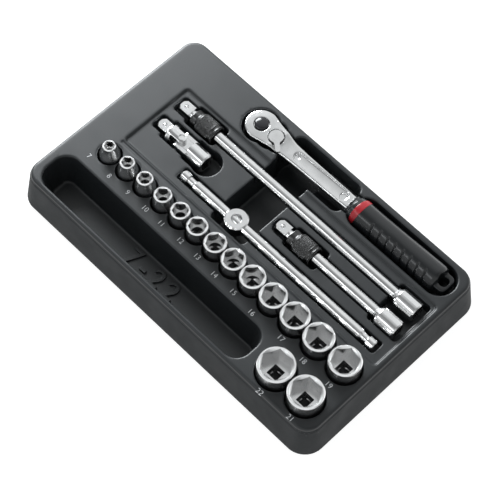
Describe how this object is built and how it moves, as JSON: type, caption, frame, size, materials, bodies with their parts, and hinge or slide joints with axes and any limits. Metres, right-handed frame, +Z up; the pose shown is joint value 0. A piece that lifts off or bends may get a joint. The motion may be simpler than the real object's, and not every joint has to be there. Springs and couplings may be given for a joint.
{
  "type": "socket wrench set in case",
  "caption": "Open moulded tray holding a row of metric sockets, a reversible ratchet, two locking extensions, a universal joint and a sliding T-handle.",
  "frame": {"origin": "centre of the tray's base, at the height of the surface it rests on", "axes": "+X along the tray's long side towards the grip end, +Y to the back where the ratchet lies, +Z up"},
  "size_m": [0.313, 0.191, 0.0464],
  "materials": {
    "tray_plastic": "satin",
    "socket_steel": "satin",
    "tool_steel": "polished",
    "spring_steel": "plain",
    "black_sleeve": "satin",
    "grip_plastic": "satin",
    "badge_red": "gloss",
    "button_black": "gloss"
  },
  "bodies": {
    "tray": {"tray": "tray_plastic"},
    "socket_7": {"socket_7mm": "socket_steel"},
    "socket_8": {"socket_8mm": "socket_steel"},
    "socket_9": {"socket_9mm": "socket_steel"},
    "socket_10": {"socket_10mm": "socket_steel"},
    "socket_11": {"socket_11mm": "socket_steel"},
    "socket_12": {"socket_12mm": "socket_steel"},
    "socket_13": {"socket_13mm": "socket_steel"},
    "socket_14": {"socket_14mm": "socket_steel"},
    "socket_15": {"socket_15mm": "socket_steel"},
    "socket_16": {"socket_16mm": "socket_steel"},
    "socket_17": {"socket_17mm": "socket_steel"},
    "socket_18": {"socket_18mm": "socket_steel"},
    "socket_19": {"socket_19mm": "socket_steel"},
    "socket_22": {"socket_22mm": "socket_steel"},
    "socket_21": {"socket_21mm": "socket_steel"},
    "long_extension": {"long_extension_shaft": "tool_steel", "long_extension_retaining_ring": "spring_steel", "long_extension_sleeve_spring": "spring_steel"},
    "long_extension_sleeve": {"long_extension_locking_sleeve": "black_sleeve"},
    "long_extension_ball": {"long_extension_drive_ball": "tool_steel"},
    "short_extension": {"short_extension_shaft": "tool_steel", "short_extension_retaining_ring": "spring_steel", "short_extension_sleeve_spring": "spring_steel"},
    "short_extension_sleeve": {"short_extension_locking_sleeve": "black_sleeve"},
    "short_extension_ball": {"short_extension_drive_ball": "tool_steel"},
    "t_handle": {"t_handle_bar": "tool_steel"},
    "t_handle_head": {"t_handle_sliding_head": "tool_steel"},
    "t_handle_ball": {"t_handle_drive_ball": "tool_steel"},
    "universal_joint": {"universal_joint_drive_yoke": "tool_steel", "universal_joint_long_pin": "tool_steel"},
    "universal_joint_cross": {"universal_joint_cross_block": "tool_steel"},
    "universal_joint_socket_end": {"universal_joint_socket_yoke": "tool_steel", "universal_joint_short_pins": "tool_steel"},
    "universal_joint_ball": {"universal_joint_drive_ball": "tool_steel"},
    "ratchet": {"ratchet_body": "tool_steel", "ratchet_grip": "grip_plastic", "grip_badge": "badge_red", "ratchet_cover_plate": "tool_steel", "ratchet_cover_screws": "tool_steel", "ratchet_pawl_pin": "tool_steel"},
    "ratchet_gear": {"ratchet_drive_gear": "tool_steel", "ratchet_button_spring": "spring_steel"},
    "ratchet_button": {"ratchet_release_button": "button_black"},
    "ratchet_ball": {"ratchet_drive_ball": "tool_steel"},
    "ratchet_lever": {"ratchet_reversing_lever": "tool_steel"},
    "ratchet_pawl": {"ratchet_pawl": "tool_steel"}
  },
  "joints": [
    {"name": "socket_7_lift", "type": "slide", "parent": "tray", "child": "socket_7", "axis": [0, 0, 1], "range_m": [0, 0.06]},
    {"name": "socket_8_lift", "type": "slide", "parent": "tray", "child": "socket_8", "axis": [0, 0, 1], "range_m": [0, 0.06]},
    {"name": "socket_9_lift", "type": "slide", "parent": "tray", "child": "socket_9", "axis": [0, 0, 1], "range_m": [0, 0.06]},
    {"name": "socket_10_lift", "type": "slide", "parent": "tray", "child": "socket_10", "axis": [0, 0, 1], "range_m": [0, 0.06]},
    {"name": "socket_11_lift", "type": "slide", "parent": "tray", "child": "socket_11", "axis": [0, 0, 1], "range_m": [0, 0.06]},
    {"name": "socket_12_lift", "type": "slide", "parent": "tray", "child": "socket_12", "axis": [0, 0, 1], "range_m": [0, 0.06]},
    {"name": "socket_13_lift", "type": "slide", "parent": "tray", "child": "socket_13", "axis": [0, 0, 1], "range_m": [0, 0.06]},
    {"name": "socket_14_lift", "type": "slide", "parent": "tray", "child": "socket_14", "axis": [0, 0, 1], "range_m": [0, 0.06]},
    {"name": "socket_15_lift", "type": "slide", "parent": "tray", "child": "socket_15", "axis": [0, 0, 1], "range_m": [0, 0.06]},
    {"name": "socket_16_lift", "type": "slide", "parent": "tray", "child": "socket_16", "axis": [0, 0, 1], "range_m": [0, 0.06]},
    {"name": "socket_17_lift", "type": "slide", "parent": "tray", "child": "socket_17", "axis": [0, 0, 1], "range_m": [0, 0.06]},
    {"name": "socket_18_lift", "type": "slide", "parent": "tray", "child": "socket_18", "axis": [0, 0, 1], "range_m": [0, 0.06]},
    {"name": "socket_19_lift", "type": "slide", "parent": "tray", "child": "socket_19", "axis": [0, 0, 1], "range_m": [0, 0.06]},
    {"name": "socket_22_lift", "type": "slide", "parent": "tray", "child": "socket_22", "axis": [0, 0, 1], "range_m": [0, 0.06]},
    {"name": "socket_21_lift", "type": "slide", "parent": "tray", "child": "socket_21", "axis": [0, 0, 1], "range_m": [0, 0.06]},
    {"name": "long_extension_lift", "type": "slide", "parent": "tray", "child": "long_extension", "axis": [0, 0, 1], "range_m": [0, 0.06]},
    {"name": "long_extension_sleeve_slide", "type": "slide", "parent": "long_extension", "child": "long_extension_sleeve", "axis": [1, 0, 0], "range_m": [0, 0.004], "stiffness_N_per_m": 300, "springref_m": -0.006},
    {"name": "long_extension_ball_slide", "type": "slide", "parent": "long_extension", "child": "long_extension_ball", "axis": [0, 0, -1], "range_m": [0, 0.0008]},
    {"name": "short_extension_lift", "type": "slide", "parent": "tray", "child": "short_extension", "axis": [0, 0, 1], "range_m": [0, 0.06]},
    {"name": "short_extension_sleeve_slide", "type": "slide", "parent": "short_extension", "child": "short_extension_sleeve", "axis": [1, 0, 0], "range_m": [0, 0.004], "stiffness_N_per_m": 300, "springref_m": -0.006},
    {"name": "short_extension_ball_slide", "type": "slide", "parent": "short_extension", "child": "short_extension_ball", "axis": [0, 0, -1], "range_m": [0, 0.0008]},
    {"name": "t_handle_lift", "type": "slide", "parent": "tray", "child": "t_handle", "axis": [0, 0, 1], "range_m": [0, 0.06]},
    {"name": "t_handle_head_slide", "type": "slide", "parent": "t_handle", "child": "t_handle_head", "axis": [1, 0, 0], "range_m": [-0.007, 0.007]},
    {"name": "t_handle_ball_slide", "type": "slide", "parent": "t_handle_head", "child": "t_handle_ball", "axis": [0, 1, 0], "range_m": [0, 0.0008], "stiffness_N_per_m": 1000, "springref_m": -0.0008},
    {"name": "universal_joint_lift", "type": "slide", "parent": "tray", "child": "universal_joint", "axis": [0, 0, 1], "range_m": [0, 0.06]},
    {"name": "universal_joint_swing", "type": "hinge", "parent": "universal_joint", "child": "universal_joint_cross", "pos_m": [-0.0891, 0.0165, 0.029], "axis": [0, 0, 1], "range_deg": [-4, 4]},
    {"name": "universal_joint_tilt", "type": "hinge", "parent": "universal_joint_cross", "child": "universal_joint_socket_end", "pos_m": [-0.0891, 0.0165, 0.029], "axis": [0, -1, 0], "range_deg": [0, 60]},
    {"name": "universal_joint_ball_slide", "type": "slide", "parent": "universal_joint", "child": "universal_joint_ball", "axis": [0, 0, -1], "range_m": [0, 0.0008], "stiffness_N_per_m": 1000, "springref_m": -0.0008},
    {"name": "ratchet_lift", "type": "slide", "parent": "tray", "child": "ratchet", "axis": [0, 0, 1], "range_m": [0, 0.06]},
    {"name": "ratchet_drive_spin", "type": "hinge", "parent": "ratchet", "child": "ratchet_gear", "pos_m": [-0.0553, 0.0697, 0.03], "axis": [0, 0, 1], "continuous": true},
    {"name": "ratchet_release_press", "type": "slide", "parent": "ratchet_gear", "child": "ratchet_button", "axis": [0, 0, -1], "range_m": [0, 0.002], "stiffness_N_per_m": 800, "springref_m": -0.003, "deforming": ["ratchet_button_spring"]},
    {"name": "ratchet_ball_slide", "type": "slide", "parent": "ratchet_gear", "child": "ratchet_ball", "axis": [-0.0087, 1, 0], "range_m": [0, 0.0008]},
    {"name": "ratchet_reversing_turn", "type": "hinge", "parent": "ratchet", "child": "ratchet_lever", "pos_m": [-0.0394, 0.06984, 0.035], "axis": [0, 0, 1], "range_deg": [0, 76]},
    {"name": "ratchet_pawl_rock", "type": "hinge", "parent": "ratchet", "child": "ratchet_pawl", "pos_m": [-0.0394, 0.06984, 0.029], "axis": [0, 0, 1], "range_deg": [-0.5, 8]}
  ],
  "couplings": [
    {"joint": "long_extension_ball_slide", "follows": "long_extension_sleeve_slide", "ratio": 0.175},
    {"joint": "short_extension_ball_slide", "follows": "short_extension_sleeve_slide", "ratio": 0.175},
    {"joint": "ratchet_ball_slide", "follows": "ratchet_release_press", "ratio": 0.35},
    {"joint": "ratchet_pawl_rock", "follows": "ratchet_reversing_turn", "ratio": 0.1}
  ]
}
